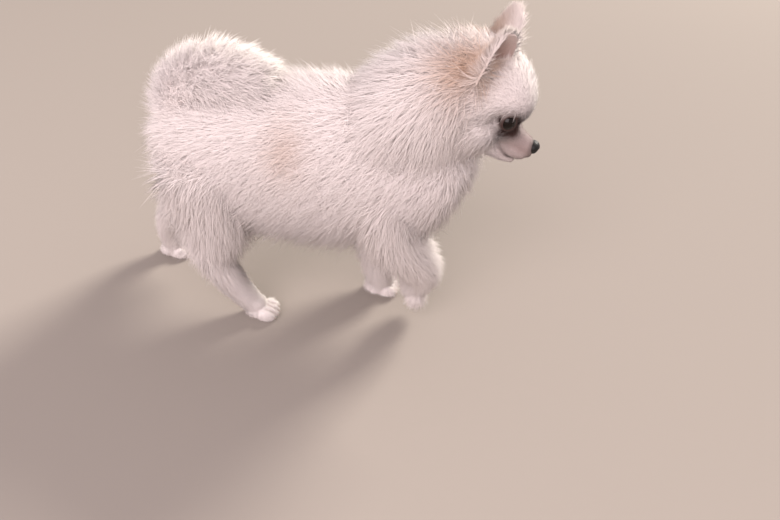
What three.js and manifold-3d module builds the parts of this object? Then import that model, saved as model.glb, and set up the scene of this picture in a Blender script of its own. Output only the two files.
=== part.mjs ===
// A pomeranian puppy at life size, walking, with its right forepaw lifted.
// Millimetres, +Z up, the nose along +X, the dog's left side along +Y, the paws on Z = 0.
import * as THREE from "three";
import { mergeVertices } from "three/addons/utils/BufferGeometryUtils.js";
import Module from "manifold-3d";

const wasm = await Module();
wasm.setup();

// Driving dimensions
const GAP = 0.3; // between nodes that touch
const CHEST_HALF_WIDTH = 40; // under the coat
const CHEST_HALF_HEIGHT = 47;
const BACK_Z = 145; // height of the trunk's centre line
const CHEST_X = 84;
const RUMP_X = -87;
const CORE_DEPTH = 10; // how far the coat's dense core stands off the skin, under half of its depth
const COAT_LENGTH = 34; // trunk locks, root to tip
const RUFF_LENGTH = 36;
const PLUME_LENGTH = 36; // locks of the tail
const LOCK_WIDTH = 26;
const LOCK_THICKNESS = 6;
const LOCK_ROOT_DEPTH = 5;
const SKULL_RADIUS = 33;
const MUZZLE_LENGTH = 28; // from the stop to the front of the nose
const EYE_RADIUS = 6.2;
const EAR_LENGTH = 36;
const EAR_HALF_WIDTH = 16.5;
const EAR_THICKNESS = 2.6;
const PAW_HALF_WIDTH = 11.5;
const PAW_LENGTH = 30;
const HEAD_PLACE = new THREE.Vector3(140, 0, 215); // centre of the skull
const HEAD_YAW = -0.16; // radians, the head turned a little to its right
const HEAD_PITCH = 0.36; // radians, the nose lowered

const COLOURS = { coat: 0xe6d8d0, ear: 0xdcc0a8, skin: 0xb98f84, dark: 0x17120f };

// A seeded random number from 0 to 1, the same on every run
let seed = 20240;
function random() {
  seed = (seed * 1664525 + 1013904223) % 4294967296;
  return seed / 4294967296;
}
const vary = (value, share) => value * (1 + share * (2 * random() - 1));
const TURN = 2 * Math.PI;
const vec = (x, y, z) => new THREE.Vector3(x, y, z);

// Solids and booleans
function solid(geometry, matrix) {
  const bare = new THREE.BufferGeometry();
  const flat = geometry.index ? geometry.toNonIndexed() : geometry;
  bare.setAttribute("position", flat.getAttribute("position").clone());
  if (matrix) bare.applyMatrix4(matrix);
  const merged = mergeVertices(bare, 1e-4);
  return new wasm.Manifold(
    new wasm.Mesh({
      numProp: 3,
      vertProperties: merged.attributes.position.array,
      triVerts: new Uint32Array(merged.index.array),
    }),
  );
}

function join(solids) {
  while (solids.length > 1) {
    const pairs = [];
    for (let i = 0; i < solids.length; i += 2)
      pairs.push(i + 1 < solids.length ? solids[i].add(solids[i + 1]) : solids[i]);
    solids = pairs;
  }
  return solids[0];
}

function largest(whole) {
  const pieces = whole.decompose().filter((piece) => piece.volume() > 0);
  return pieces.reduce((a, b) => (b.volume() > a.volume() ? b : a));
}

function meshOf(name, manifold, colour, roughness) {
  const raw = manifold.getMesh();
  const geometry = new THREE.BufferGeometry();
  const positions = new Float32Array(raw.numVert * 3);
  for (let i = 0; i < raw.numVert; i++)
    positions.set(raw.vertProperties.subarray(i * raw.numProp, i * raw.numProp + 3), i * 3);
  geometry.setAttribute("position", new THREE.BufferAttribute(positions, 3));
  geometry.setIndex(new THREE.BufferAttribute(new Uint32Array(raw.triVerts), 1));
  const material = new THREE.MeshStandardMaterial({ color: colour, roughness, metalness: 0 });
  const mesh = new THREE.Mesh(geometry, material);
  mesh.name = name;
  return mesh;
}

function closedGeometry(positions, triangles) {
  const geometry = new THREE.BufferGeometry();
  geometry.setAttribute("position", new THREE.Float32BufferAttribute(positions, 3));
  geometry.setIndex(triangles);
  return geometry;
}

// A limb or trunk: oval rings along a smooth line through stations.
// A station is [x, y, z, half width, half height above, half height below].
class Loft {
  constructor(stations) {
    this.stations = stations;
    this.line = new THREE.CatmullRomCurve3(stations.map((s) => vec(s[0], s[1], s[2])), false, "centripetal");
    const last = stations.length - 1;
    this.size = (u, k) => {
      const at = Math.min(u * last, last - 1e-9);
      const i = Math.floor(at);
      const t = at - i;
      const pick = (n) => stations[Math.max(0, Math.min(last, n))][k];
      const [a, b, c, d] = [pick(i - 1), pick(i), pick(i + 1), pick(i + 2)];
      const cubic = (3 * (b - c) + d - a) * t ** 3 + (2 * a - 5 * b + 4 * c - d) * t ** 2 + (c - a) * t;
      return b + 0.5 * cubic;
    };
  }

  frameAt(u) {
    const along = this.line.getTangent(u).normalize();
    const side = vec(0, 1, 0).addScaledVector(along, -along.y).normalize();
    const up = new THREE.Vector3().crossVectors(side, along);
    return { centre: this.line.getPoint(u), along, side, up };
  }

  pointAt(u, angle, grown = 0) {
    const { centre, side, up } = this.frameAt(u);
    const height = this.size(u, Math.sin(angle) > 0 ? 4 : 5) + grown;
    return centre
      .addScaledVector(side, (this.size(u, 3) + grown) * Math.cos(angle))
      .addScaledVector(up, height * Math.sin(angle));
  }

  normalAt(u, angle) {
    const step = 0.02;
    const [u0, u1] = [Math.max(0, u - step), Math.min(1, u + step)];
    const alongSurface = this.pointAt(u1, angle).sub(this.pointAt(u0, angle));
    const around = this.pointAt(u, angle + step).sub(this.pointAt(u, angle - step));
    return around.cross(alongSurface).normalize().negate();
  }

  geometry(rings, sides, grown) {
    const positions = [];
    const triangles = [];
    for (let i = 0; i <= rings; i++)
      for (let j = 0; j < sides; j++)
        positions.push(...this.pointAt(i / rings, (2 * Math.PI * j) / sides, grown).toArray());
    const at = (i, j) => i * sides + (j % sides);
    for (let i = 0; i < rings; i++)
      for (let j = 0; j < sides; j++) {
        triangles.push(at(i, j), at(i + 1, j), at(i, j + 1));
        triangles.push(at(i + 1, j), at(i + 1, j + 1), at(i, j + 1));
      }
    const start = positions.length / 3;
    for (const u of [0, 1]) {
      const end = this.line.getPoint(u).addScaledVector(this.line.getTangent(u), grown * (2 * u - 1));
      positions.push(...end.toArray());
    }
    for (let j = 0; j < sides; j++) {
      triangles.push(start, at(0, j), at(0, j + 1));
      triangles.push(start + 1, at(rings, j + 1), at(rings, j));
    }
    return closedGeometry(positions, triangles);
  }

  solid(rings, sides, grown = 0) {
    return solid(this.geometry(rings, sides, grown));
  }
}

// A flat, tapered lock of hair that leaves the skin at a lift and bends over along its lie
function lock({ root, normal, lie, length, width, lift, thickness = LOCK_THICKNESS, droop = 0 }, grown = 0) {
  const start = normal.clone().multiplyScalar(Math.sin(lift)).addScaledVector(lie, Math.cos(lift));
  const bend = lie.clone().multiplyScalar(0.25).addScaledVector(normal, -0.2);
  bend.z -= droop;
  const across = new THREE.Vector3().crossVectors(normal, lie).normalize();
  const sunk = root.clone().addScaledVector(normal, -LOCK_ROOT_DEPTH);
  const point = (t) =>
    sunk.clone().addScaledVector(start, length * t).addScaledVector(bend, length * t * t);
  const rings = [
    [0, 0.42],
    [0.3, 0.5],
    [0.68, 0.36],
  ];
  const positions = [];
  const triangles = [];
  for (const [t, share] of rings) {
    const along = point(t + 0.05).sub(point(t)).normalize();
    const out = new THREE.Vector3().crossVectors(along, across).normalize();
    const half = thickness * (0.5 - 0.3 * t) + 1.4 * grown;
    const wide = width * share + 2 * grown;
    for (const [a, o] of [[1, 0], [0, 1], [-1, 0], [0, -1]])
      positions.push(...point(t).addScaledVector(across, a * wide).addScaledVector(out, o * half).toArray());
  }
  positions.push(...point(1 + (3 * grown) / length).toArray());
  for (let i = 0; i + 1 < rings.length; i++)
    for (let j = 0; j < 4; j++) {
      const [a, b] = [i * 4 + j, i * 4 + ((j + 1) % 4)];
      triangles.push(a, b, a + 4, b, b + 4, a + 4);
    }
  const [end, tip] = [(rings.length - 1) * 4, rings.length * 4];
  for (let j = 0; j < 4; j++) triangles.push(end + j, end + ((j + 1) % 4), tip);
  triangles.push(0, 2, 1, 0, 3, 2);
  const made = solid(closedGeometry(positions, triangles));
  if (made.volume() > 0) return made;
  for (let i = 0; i < triangles.length; i += 3)
    [triangles[i + 1], triangles[i + 2]] = [triangles[i + 2], triangles[i + 1]];
  return solid(closedGeometry(positions, triangles));
}

const lockSolids = (locks, grown = 0) => locks.map((one) => lock(one, grown));

// Staggered rows of locks over a loft, from u = from to u = to and between two angles
function coat(loft, { rows, around, from, to = from, low = 0, high = TURN, depth = CORE_DEPTH, ...style }) {
  const locks = [];
  for (let row = 0; row < rows; row++) {
    const u = rows > 1 ? from + ((to - from) * row) / (rows - 1) : from;
    for (let k = 0; k < around; k++) {
      const step = (high - low) / around;
      const angle = low + step * (k + (row % 2 ? 0.75 : 0.25) + 0.3 * (random() - 0.5));
      const at = Math.max(0.01, Math.min(0.99, u + 0.02 * (random() - 0.5)));
      const normal = loft.normalAt(at, angle);
      const { along } = loft.frameAt(at);
      const lie = along.clone().addScaledVector(normal, -along.dot(normal)).normalize();
      locks.push({
        root: loft.pointAt(at, angle, depth),
        normal,
        lie,
        length: vary(style.length, 0.12),
        width: vary(style.width ?? LOCK_WIDTH, 0.15),
        lift: vary(style.lift ?? 0.85, 0.15),
        droop: style.droop ?? 0.1,
      });
    }
  }
  return locks;
}

function ball(centre, rx, ry = rx, rz = rx, detail = [12, 8]) {
  const matrix = new THREE.Matrix4().makeTranslation(centre.x, centre.y, centre.z);
  matrix.scale(vec(rx, ry, rz));
  return solid(new THREE.SphereGeometry(1, ...detail), matrix);
}

// The half space beyond a plane, as a large box: everything on the side that the normal points to
function beyond(point, normal) {
  const size = 1200;
  const turn = new THREE.Quaternion().setFromUnitVectors(vec(0, 0, 1), normal);
  const centre = point.clone().addScaledVector(normal, size / 2);
  const matrix = new THREE.Matrix4().compose(centre, turn, vec(1, 1, 1));
  return solid(new THREE.BoxGeometry(size, size, size), matrix);
}

function block(low, high) {
  const size = high.clone().sub(low);
  const centre = low.clone().add(high).multiplyScalar(0.5);
  const matrix = new THREE.Matrix4().makeTranslation(centre.x, centre.y, centre.z);
  return solid(new THREE.BoxGeometry(size.x, size.y, size.z), matrix);
}

// The trunk, from the forechest back to the rump
const trunk = new Loft([
  [CHEST_X + 43, 0, BACK_Z - 10, 17, 22, 20],
  [CHEST_X + 32, 0, BACK_Z - 6, 32, 40, 38],
  [CHEST_X, 0, BACK_Z, CHEST_HALF_WIDTH, CHEST_HALF_HEIGHT, CHEST_HALF_HEIGHT + 3],
  [36, 0, BACK_Z, 42, 59, 55],
  [-16, 0, BACK_Z - 1, 41, 57, 54],
  [-58, 0, BACK_Z, 42, 50, 51],
  [RUMP_X, 0, BACK_Z - 2, 36, 40, 46],
  [RUMP_X - 17, 0, BACK_Z - 9, 20, 25, 29],
]);

function makeTrunk() {
  const falling = { length: COAT_LENGTH, lift: 1.0, droop: 0.4 };
  return [
    trunk.solid(12, 14, CORE_DEPTH),
    ...lockSolids([
      ...coat(trunk, { rows: 2, around: 7, from: 0.03, to: 0.12, ...falling }),
      ...coat(trunk, { rows: 6, around: 11, from: 0.21, to: 0.88, length: COAT_LENGTH }),
      ...coat(trunk, { rows: 1, around: 5, from: 0.97, length: 24, lift: 1.0, droop: 0.4 }),
    ]),
  ];
}

// The neck, from behind the skull down into the shoulders
const neck = new Loft([
  [126, 0, 218, 26, 28, 26],
  [106, 0, 208, 31, 31, 36],
  [84, 0, 192, 37, 34, 46],
  [58, 0, 174, 36, 30, 42],
]);

function makeNeck() {
  return [
    neck.solid(6, 14, CORE_DEPTH),
    ...lockSolids(
      coat(neck, { rows: 3, around: 11, from: 0.08, to: 0.72, length: RUFF_LENGTH, lift: 0.95 }),
    ),
  ];
}

// The head is made about the skull's centre with the nose along +X, then turned and placed
const headMatrix = new THREE.Matrix4()
  .makeTranslation(HEAD_PLACE.x, HEAD_PLACE.y, HEAD_PLACE.z)
  .multiply(new THREE.Matrix4().makeRotationZ(HEAD_YAW))
  .multiply(new THREE.Matrix4().makeRotationY(HEAD_PITCH));
const inHead = (manifold) => manifold.transform(headMatrix.elements);

const STOP_X = SKULL_RADIUS - 5;
const NOSE_X = STOP_X + MUZZLE_LENGTH;
const EYE_AT = vec(STOP_X - 8, 20.5, -2.8);
const NOSE_AT = vec(NOSE_X - 5.5, 0, -19.2);
const CHEEKS_AT = vec(8, 0, -13);
const SKULL_FACETS = [14, 12]; // rings along it and sides round it

// The skull and upper muzzle, from the nose back to the nape
const skull = new Loft([
  [NOSE_X - 4, 0, -21.5, 5, 4.5, 6],
  [NOSE_X - 10, 0, -21.5, 9, 8, 9],
  [STOP_X + 5, 0, -19.5, 12.5, 9.6, 11.5],
  [STOP_X - 6, 0, -12, 20, 12, 13.5],
  [STOP_X - 14, 0, 2, 28, 24, 14],
  [2, 0, 5, SKULL_RADIUS + 1, SKULL_RADIUS - 1, 32],
  [-18, 0, 0, 31, 32, 32],
  [-31, 0, -4, 17, 18, 18],
]);
const jaw = new Loft([
  [NOSE_X - 13, 0, -35.5, 4.5, 3, 3.5],
  [STOP_X + 7, 0, -36, 9.5, 5, 5],
  [STOP_X - 6, 0, -33.5, 15, 8, 7],
  [STOP_X - 20, 0, -27, 20, 10, 11],
]);

function eyeLids(side) {
  const place = new THREE.Matrix4().makeTranslation(EYE_AT.x + 1.6, side * (EYE_AT.y + 1.3), EYE_AT.z);
  const gaze = vec(0.62, side * 0.78, 0.05).normalize();
  const facing = new THREE.Quaternion().setFromUnitVectors(vec(0, 0, 1), gaze);
  place.multiply(new THREE.Matrix4().makeRotationFromQuaternion(facing));
  place.scale(vec(1, 0.86, 0.8));
  return solid(new THREE.TorusGeometry(5.6, 1.7, 5, 12), place);
}

// The line of the mouth: a groove along both lips and round the front
function mouthGroove() {
  const turns = [1, -1].flatMap((side) => {
    const half = [
      vec(STOP_X - 12, side * 23, -29.5),
      vec(STOP_X - 3, side * 16.5, -32.5),
      vec(STOP_X + 8, side * 10, -33),
      vec(NOSE_X - 7.5, 0, -31),
    ];
    return side > 0 ? half : half.slice(0, 3).reverse();
  });
  const path = new THREE.CatmullRomCurve3(turns);
  const section = new THREE.Shape();
  section.absellipse(0, 0, 1.1, 1.1, 0, 2 * Math.PI);
  return solid(new THREE.ExtrudeGeometry(section, { steps: 12, extrudePath: path, curveSegments: 2 }));
}

function headLocks() {
  const locks = [];
  const grow = (u, angle, lie, style) => {
    const normal = skull.normalAt(u, angle);
    const lying = lie.addScaledVector(normal, -lie.dot(normal)).normalize();
    locks.push({ root: skull.pointAt(u, angle), normal, lie: lying, thickness: 5, ...style });
  };
  for (const side of [0, Math.PI])
    for (const row of [0, 1])
      for (const place of [0, 1, 2]) {
        const angle = side + (side ? -1 : 1) * (-0.95 + 0.5 * place + 0.15 * row);
        grow(0.68 + 0.14 * row, angle, vec(-1, 0, -0.25), { length: vary(26, 0.1), width: 18, lift: 0.6 });
      }
  for (const row of [0, 1])
    for (const place of [-1.5, -0.5, 0.5, 1.5]) {
      const angle = Math.PI / 2 + 0.42 * (place + 0.5 * row);
      grow(0.72 + 0.13 * row, angle, vec(-1, 0, 0), { length: vary(31, 0.1), width: 20, lift: 1.2 });
    }
  return locks;
}
const hairOfHead = headLocks();

function makeHead() {
  const flesh = join([
    skull.solid(...SKULL_FACETS),
    jaw.solid(5, 8),
    ball(CHEEKS_AT, 19, 26, 19, [10, 5]),
    eyeLids(1),
    eyeLids(-1),
    ...lockSolids(hairOfHead),
  ]);
  return flesh.subtract(mouthGroove());
}

// The nose leather, with its two nostrils
const NOSE_SIZE = [5.2, 6.8, 5.2];
function makeNose(grown) {
  const [rx, ry, rz] = NOSE_SIZE.map((r) => r + grown);
  const pad = ball(NOSE_AT, rx, ry, rz, [12, 8]);
  if (grown) return pad;
  const nostrils = [1, -1].map((side) =>
    ball(vec(NOSE_AT.x + 4.7, side * 3.2, NOSE_AT.z - 0.2), 2.2, 1.2, 1.4, [6, 5]),
  );
  return pad.subtract(join(nostrils));
}

const eyeBall = (side, grown) =>
  ball(vec(EYE_AT.x, side * EYE_AT.y, EYE_AT.z), EYE_RADIUS + grown, undefined, undefined, [12, 8]);

// A cupped, pricked ear: a curved triangular shell of even thickness, open to the front and side
function earShell(side) {
  const [across, upward] = [6, 6];
  const positions = [];
  const triangles = [];
  const faceSize = (across + 1) * (upward + 1);
  for (const face of [0, 1])
    for (let j = 0; j <= upward; j++)
      for (let i = 0; i <= across; i++) {
        const v = j / upward;
        const u = (2 * i) / across - 1;
        const half = EAR_HALF_WIDTH * (0.2 + 0.8 * Math.sqrt(1 - v ** 3));
        const cup = (9 - 6.5 * v) * u * u - 2 * v * v;
        positions.push(cup + face * -EAR_THICKNESS, u * half, v * EAR_LENGTH);
      }
  const at = (face, i, j) => face * faceSize + j * (across + 1) + i;
  for (let j = 0; j < upward; j++)
    for (let i = 0; i < across; i++) {
      triangles.push(at(0, i, j), at(0, i + 1, j), at(0, i + 1, j + 1));
      triangles.push(at(0, i, j), at(0, i + 1, j + 1), at(0, i, j + 1));
      triangles.push(at(1, i, j), at(1, i + 1, j + 1), at(1, i + 1, j));
      triangles.push(at(1, i, j), at(1, i, j + 1), at(1, i + 1, j + 1));
    }
  const rim = [];
  for (let i = 0; i < across; i++) rim.push([i, 0]);
  for (let j = 0; j < upward; j++) rim.push([across, j]);
  for (let i = across; i > 0; i--) rim.push([i, upward]);
  for (let j = upward; j > 0; j--) rim.push([0, j]);
  rim.forEach(([i, j], n) => {
    const [k, l] = rim[(n + 1) % rim.length];
    triangles.push(at(0, i, j), at(1, i, j), at(0, k, l), at(0, k, l), at(1, i, j), at(1, k, l));
  });
  const matrix = new THREE.Matrix4()
    .makeTranslation(-14, side * 20, 20)
    .multiply(new THREE.Matrix4().makeRotationX(-side * 0.34))
    .multiply(new THREE.Matrix4().makeRotationY(0.1))
    .multiply(new THREE.Matrix4().makeRotationZ(side * 0.45));
  return solid(closedGeometry(positions, triangles), matrix);
}

// A paw with four toes and their claws, about its own centre, toes along +X, sole at Z = 0
function pawSolids() {
  const toes = [-1.5, -0.5, 0.5, 1.5].flatMap((slot) => {
    const forward = PAW_LENGTH / 2 - 8 - 1.3 * Math.abs(slot);
    const across = slot * PAW_HALF_WIDTH * 0.46;
    return [
      ball(vec(forward, across, 5.4), 7.6, 3.9, 6, [6, 4]),
      ball(vec(forward + 7.6, across, 3.6), 2.6, 0.9, 1.2, [4, 2]),
    ];
  });
  return [ball(vec(-3, 0, 6.5), 12, PAW_HALF_WIDTH - 1, 8, [8, 5]), ...toes];
}

function placedPaw(place, turn, tip = 0) {
  const matrix = new THREE.Matrix4()
    .makeTranslation(place.x, place.y, place.z)
    .multiply(new THREE.Matrix4().makeRotationZ(turn))
    .multiply(new THREE.Matrix4().makeRotationY(tip));
  return pawSolids().map((piece) => piece.transform(matrix.elements));
}

// The legs: where each paw stands, and the line of the limb above it
const legs = {
  front_left: {
    paw: [vec(73, 16, -0.8), 0.05],
    line: [
      [64, 24, 132, 20, 21, 21],
      [62, 26, 96, 17, 19, 19],
      [66, 21, 52, 13, 15, 13],
      [69, 17, 26, 11, 12, 11],
      [71, 16, 8, 10, 10, 10],
    ],
  },
  front_right: {
    paw: [vec(99, -14, 23), -0.05, 0.95],
    line: [
      [68, -24, 132, 20, 21, 21],
      [80, -27, 98, 17, 18, 18],
      [102, -23, 72, 14, 15, 14],
      [112, -18, 54, 12.5, 13, 12.5],
      [103, -15, 34, 11, 11, 10.5],
    ],
  },
  hind_left: {
    paw: [vec(-134, 35, -0.8), 0.05],
    line: [
      [-84, 24, 138, 24, 34, 37],
      [-92, 31, 100, 18, 26, 28],
      [-124, 34, 64, 12, 15, 17],
      [-139, 35, 34, 10, 11, 11],
      [-137, 35, 8, 9.5, 9.5, 9.5],
    ],
  },
  hind_right: {
    paw: [vec(-31, -38, -0.8), 0],
    line: [
      [-76, -24, 138, 24, 34, 37],
      [-70, -31, 100, 18, 26, 29],
      [-72, -36, 62, 13, 15, 18],
      [-58, -38, 36, 11, 11, 13],
      [-38, -38, 11, 10, 9.5, 10],
    ],
  },
};

function makeLeg({ paw, line }) {
  const limb = new Loft(line);
  const feathering = { depth: 0, length: 24, width: 19, lift: 0.5 };
  return [
    limb.solid(7, 8),
    ...placedPaw(...paw),
    ...lockSolids(coat(limb, { rows: 2, around: 5, from: 0.26, to: 0.44, ...feathering })),
  ];
}

// The tail, carried forward over the back, with its plume
const tail = new Loft([
  [-104, 0, 170, 11, 11, 11],
  [-104, 0, 190, 12, 12, 12],
  [-90, 0, 208, 13, 11, 11],
  [-62, -3, 214, 12, 10, 10],
  [-32, -7, 215, 7, 6, 6],
]);

function makeTail() {
  return [
    tail.solid(6, 8),
    ...lockSolids(
      coat(tail, {
        rows: 5, around: 5, from: 0.2, to: 0.97, low: -0.25, high: Math.PI + 0.25, depth: 0,
        length: PLUME_LENGTH, width: 18, lift: 0.85, droop: 0.02,
      }),
    ),
  ];
}

// Where the whole animal is parted: the planes between neighbours, and the blocks round each leg and the tail
const HEAD_PLANE = { point: vec(112, 0, 240), normal: vec(0.936, 0, 0.352) };
const NECK_PLANE = { point: vec(62, 0, 230), normal: vec(0.777, 0, 0.63) };
const TAIL_PLANE = { point: vec(-70, 0, 204), normal: vec(-0.18, 0, 1) };
const BLOCKS = {
  leg_front_left: [vec(40, 3, -50), vec(94, 50, 88)],
  leg_front_right: [vec(58, -52, -50), vec(140, -3, 88)],
  leg_hind_left: [vec(-190, 3, -50), vec(-58, 70, 92)],
  leg_hind_right: [vec(-130, -70, -50), vec(0, -3, 92)],
  tail: [vec(-160, -75, 150), vec(-2, 75, 300)],
};

function shifted({ point, normal }, by) {
  const along = normal.clone().normalize();
  return beyond(point.clone().addScaledVector(along, by), along);
}
const aboveFloor = beyond(vec(0, 0, 0), vec(0, 0, 1));

const whole = join([
  ...makeTrunk(),
  ...makeNeck(),
  tail.solid(8, 10),
  ...Object.values(legs).flatMap(makeLeg),
]).intersect(aboveFloor);
const wholeHead = inHead(makeHead());
const skullRoom = inHead(join([skull.solid(...SKULL_FACETS, GAP), ...lockSolids(hairOfHead, GAP)]));
const noseRoom = inHead(makeNose(GAP));
const eyeRoom = inHead(join([eyeBall(1, GAP), eyeBall(-1, GAP)]));
const blockRoom = (name, grown) => {
  const [low, high] = BLOCKS[name];
  const room = block(low.clone().subScalar(grown), high.clone().addScalar(grown));
  return name === "tail" ? room.intersect(shifted(TAIL_PLANE, -grown)) : room;
};
const trunkAndNeck = whole.subtract(join(Object.keys(BLOCKS).map((name) => blockRoom(name, GAP))));

const parts = {};
const addPart = (name, manifold, colour, roughness = 0.9) => {
  parts[name] = { manifold: largest(manifold), colour, roughness };
};
addPart("torso", trunkAndNeck.subtract(shifted(NECK_PLANE, -GAP)), COLOURS.coat);
const beyondShoulders = trunkAndNeck.intersect(shifted(NECK_PLANE, 0));
addPart("neck", beyondShoulders.subtract(shifted(HEAD_PLANE, -GAP)), COLOURS.coat);
const headFlesh = wholeHead.intersect(shifted(HEAD_PLANE, 0));
addPart("head", headFlesh.subtract(noseRoom).subtract(eyeRoom), COLOURS.coat);
addPart("nose", inHead(makeNose(0)), COLOURS.dark, 0.4);
for (const [side, sign] of [["left", 1], ["right", -1]]) {
  addPart("eye_" + side, inHead(eyeBall(sign, 0)), COLOURS.dark, 0.1);
  addPart("ear_" + side, inHead(earShell(sign)).subtract(skullRoom), COLOURS.ear);
}
for (const name of Object.keys(BLOCKS)) {
  const body = name === "tail" ? join(makeTail()) : whole;
  addPart(name, body.intersect(blockRoom(name, 0)), COLOURS.coat);
}

const pomeranian = new THREE.Group();
for (const [name, { manifold, colour, roughness }] of Object.entries(parts))
  pomeranian.add(meshOf(name, manifold, colour, roughness));

// The origin is on the floor, under the middle of the whole
const box = new THREE.Box3().setFromObject(pomeranian);
const middle = box.getCenter(vec(0, 0, 0));
pomeranian.position.set(-middle.x, -middle.y, -box.min.z);

export default pomeranian;
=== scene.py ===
"""A pomeranian puppy at life size: one skin under a coat of fine tufts, on a pale studio floor.

Shapes are worked out in millimetres, in a frame whose origin is under the four paws, and are
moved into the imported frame, in metres, by the place of the right eye.
"""
import math

import bpy
import numpy as np
from mathutils import Matrix, Vector
from mathutils.kdtree import KDTree


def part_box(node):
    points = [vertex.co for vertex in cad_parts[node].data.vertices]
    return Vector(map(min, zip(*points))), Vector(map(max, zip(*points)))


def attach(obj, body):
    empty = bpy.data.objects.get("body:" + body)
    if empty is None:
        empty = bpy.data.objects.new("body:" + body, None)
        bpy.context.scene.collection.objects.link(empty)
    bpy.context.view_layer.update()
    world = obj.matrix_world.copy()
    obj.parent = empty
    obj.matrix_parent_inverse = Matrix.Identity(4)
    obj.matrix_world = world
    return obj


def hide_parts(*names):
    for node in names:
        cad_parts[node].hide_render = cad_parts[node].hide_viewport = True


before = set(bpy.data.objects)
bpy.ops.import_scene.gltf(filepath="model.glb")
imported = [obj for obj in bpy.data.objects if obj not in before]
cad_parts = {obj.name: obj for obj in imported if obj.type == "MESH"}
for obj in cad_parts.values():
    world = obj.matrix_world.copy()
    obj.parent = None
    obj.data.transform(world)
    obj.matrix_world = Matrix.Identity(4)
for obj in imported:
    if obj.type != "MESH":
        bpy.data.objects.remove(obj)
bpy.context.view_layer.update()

# Driving sizes, in millimetres and radians
BACK_Z = 145
CHEST_X = 84
RUMP_X = -87
SKULL_RADIUS = 33
MUZZLE_LENGTH = 28
EYE_RADIUS = 6.2
EAR_LENGTH = 36
EAR_HALF_WIDTH = 16.5
EAR_THICKNESS = 2.4
EAR_AT = (-14, 20, 20)  # the base of the left ear, in the head's own frame
EAR_TURNS = (-0.34, 0.1, 0.45)  # of the left ear about X, Y and Z
PAW_HALF_WIDTH = 11.5
PAW_LENGTH = 30
TOE_SLOTS = (-1.5, -0.5, 0.5, 1.5)
TOE_PITCH = PAW_HALF_WIDTH * 0.46
HEAD_PLACE = Vector((140, 0, 215))
HEAD_YAW = -0.16
HEAD_PITCH = 0.36
VOXEL = 1.0  # size of the grid that fuses the skin
SKIN_FLOOR = 0.25  # how far the skin stays above the floor
TUFT_FLOOR = 1.2  # how far the tufts do
SKIN_SINK = 2.0  # the most that a tuft's root goes under the skin
SINK_SHARE = 0.12  # of a tuft's length, where that is less

# Where the head's features are, in the head's own frame
STOP_X = SKULL_RADIUS - 5
NOSE_X = STOP_X + MUZZLE_LENGTH
EYE_AT = Vector((STOP_X - 8, 20.5, -2.8))
NOSE_AT = Vector((NOSE_X - 5.5, 0, -19.2))

# How many tufts there are, and how fine
TUFTS = 146000
TUFTS_IN_CLUMP = 16
PIECE_TRIANGLES = 190000
UV_PATCH = 0.003  # a tuft's place in the unwrap
SKIN_SHADING = 0.88  # how far a tuft is lit as the skin under it
RINGS = [(0.0, 1.0), (0.5, 0.82)]  # how far along a tuft, and the share of its width there
BEND_ALONG = 0.22  # how far a tuft's tip bends along the coat, as a share of its length
BEND_IN = 0.2  # and towards the skin
SAG = 0.07  # and down
PART_FALLOFF = 4.5  # how fast a body part's say over the coat fades with distance from its line

HEAD_MATRIX = (
    Matrix.Translation(HEAD_PLACE)
    @ Matrix.Rotation(HEAD_YAW, 4, "Z")
    @ Matrix.Rotation(HEAD_PITCH, 4, "Y")
)
RNG = np.random.default_rng(7)


def moved(points, matrix):
    m = np.array(matrix)
    return np.asarray(points, float) @ m[:3, :3].T + m[:3, 3]


def in_head(points):
    """Points of the head's own frame, in the animal's frame."""
    return moved(points, HEAD_MATRIX)


def to_head(points):
    """Points of the animal's frame, in the head's own frame."""
    return moved(points, HEAD_MATRIX.inverted())


def eye_place(side):
    """The centre of an eye in the head's own frame, the left one for a side of 1."""
    return np.array((EYE_AT.x, side * EYE_AT.y, EYE_AT.z))


def frame_offset():
    """Where the animal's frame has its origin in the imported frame, in metres."""
    low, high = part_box("eye_right")
    eye = in_head([eye_place(-1)])[0] / 1000
    offset = np.array((low + high) / 2) - eye
    offset[2] = 0
    return offset


OFFSET = frame_offset()


def placed(points):
    """Points in millimetres in the animal's frame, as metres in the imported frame."""
    return np.asarray(points, float) / 1000 + OFFSET


def unit(vectors):
    size = np.linalg.norm(vectors, axis=-1, keepdims=True)
    return vectors / np.maximum(size, 1e-9)


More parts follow.
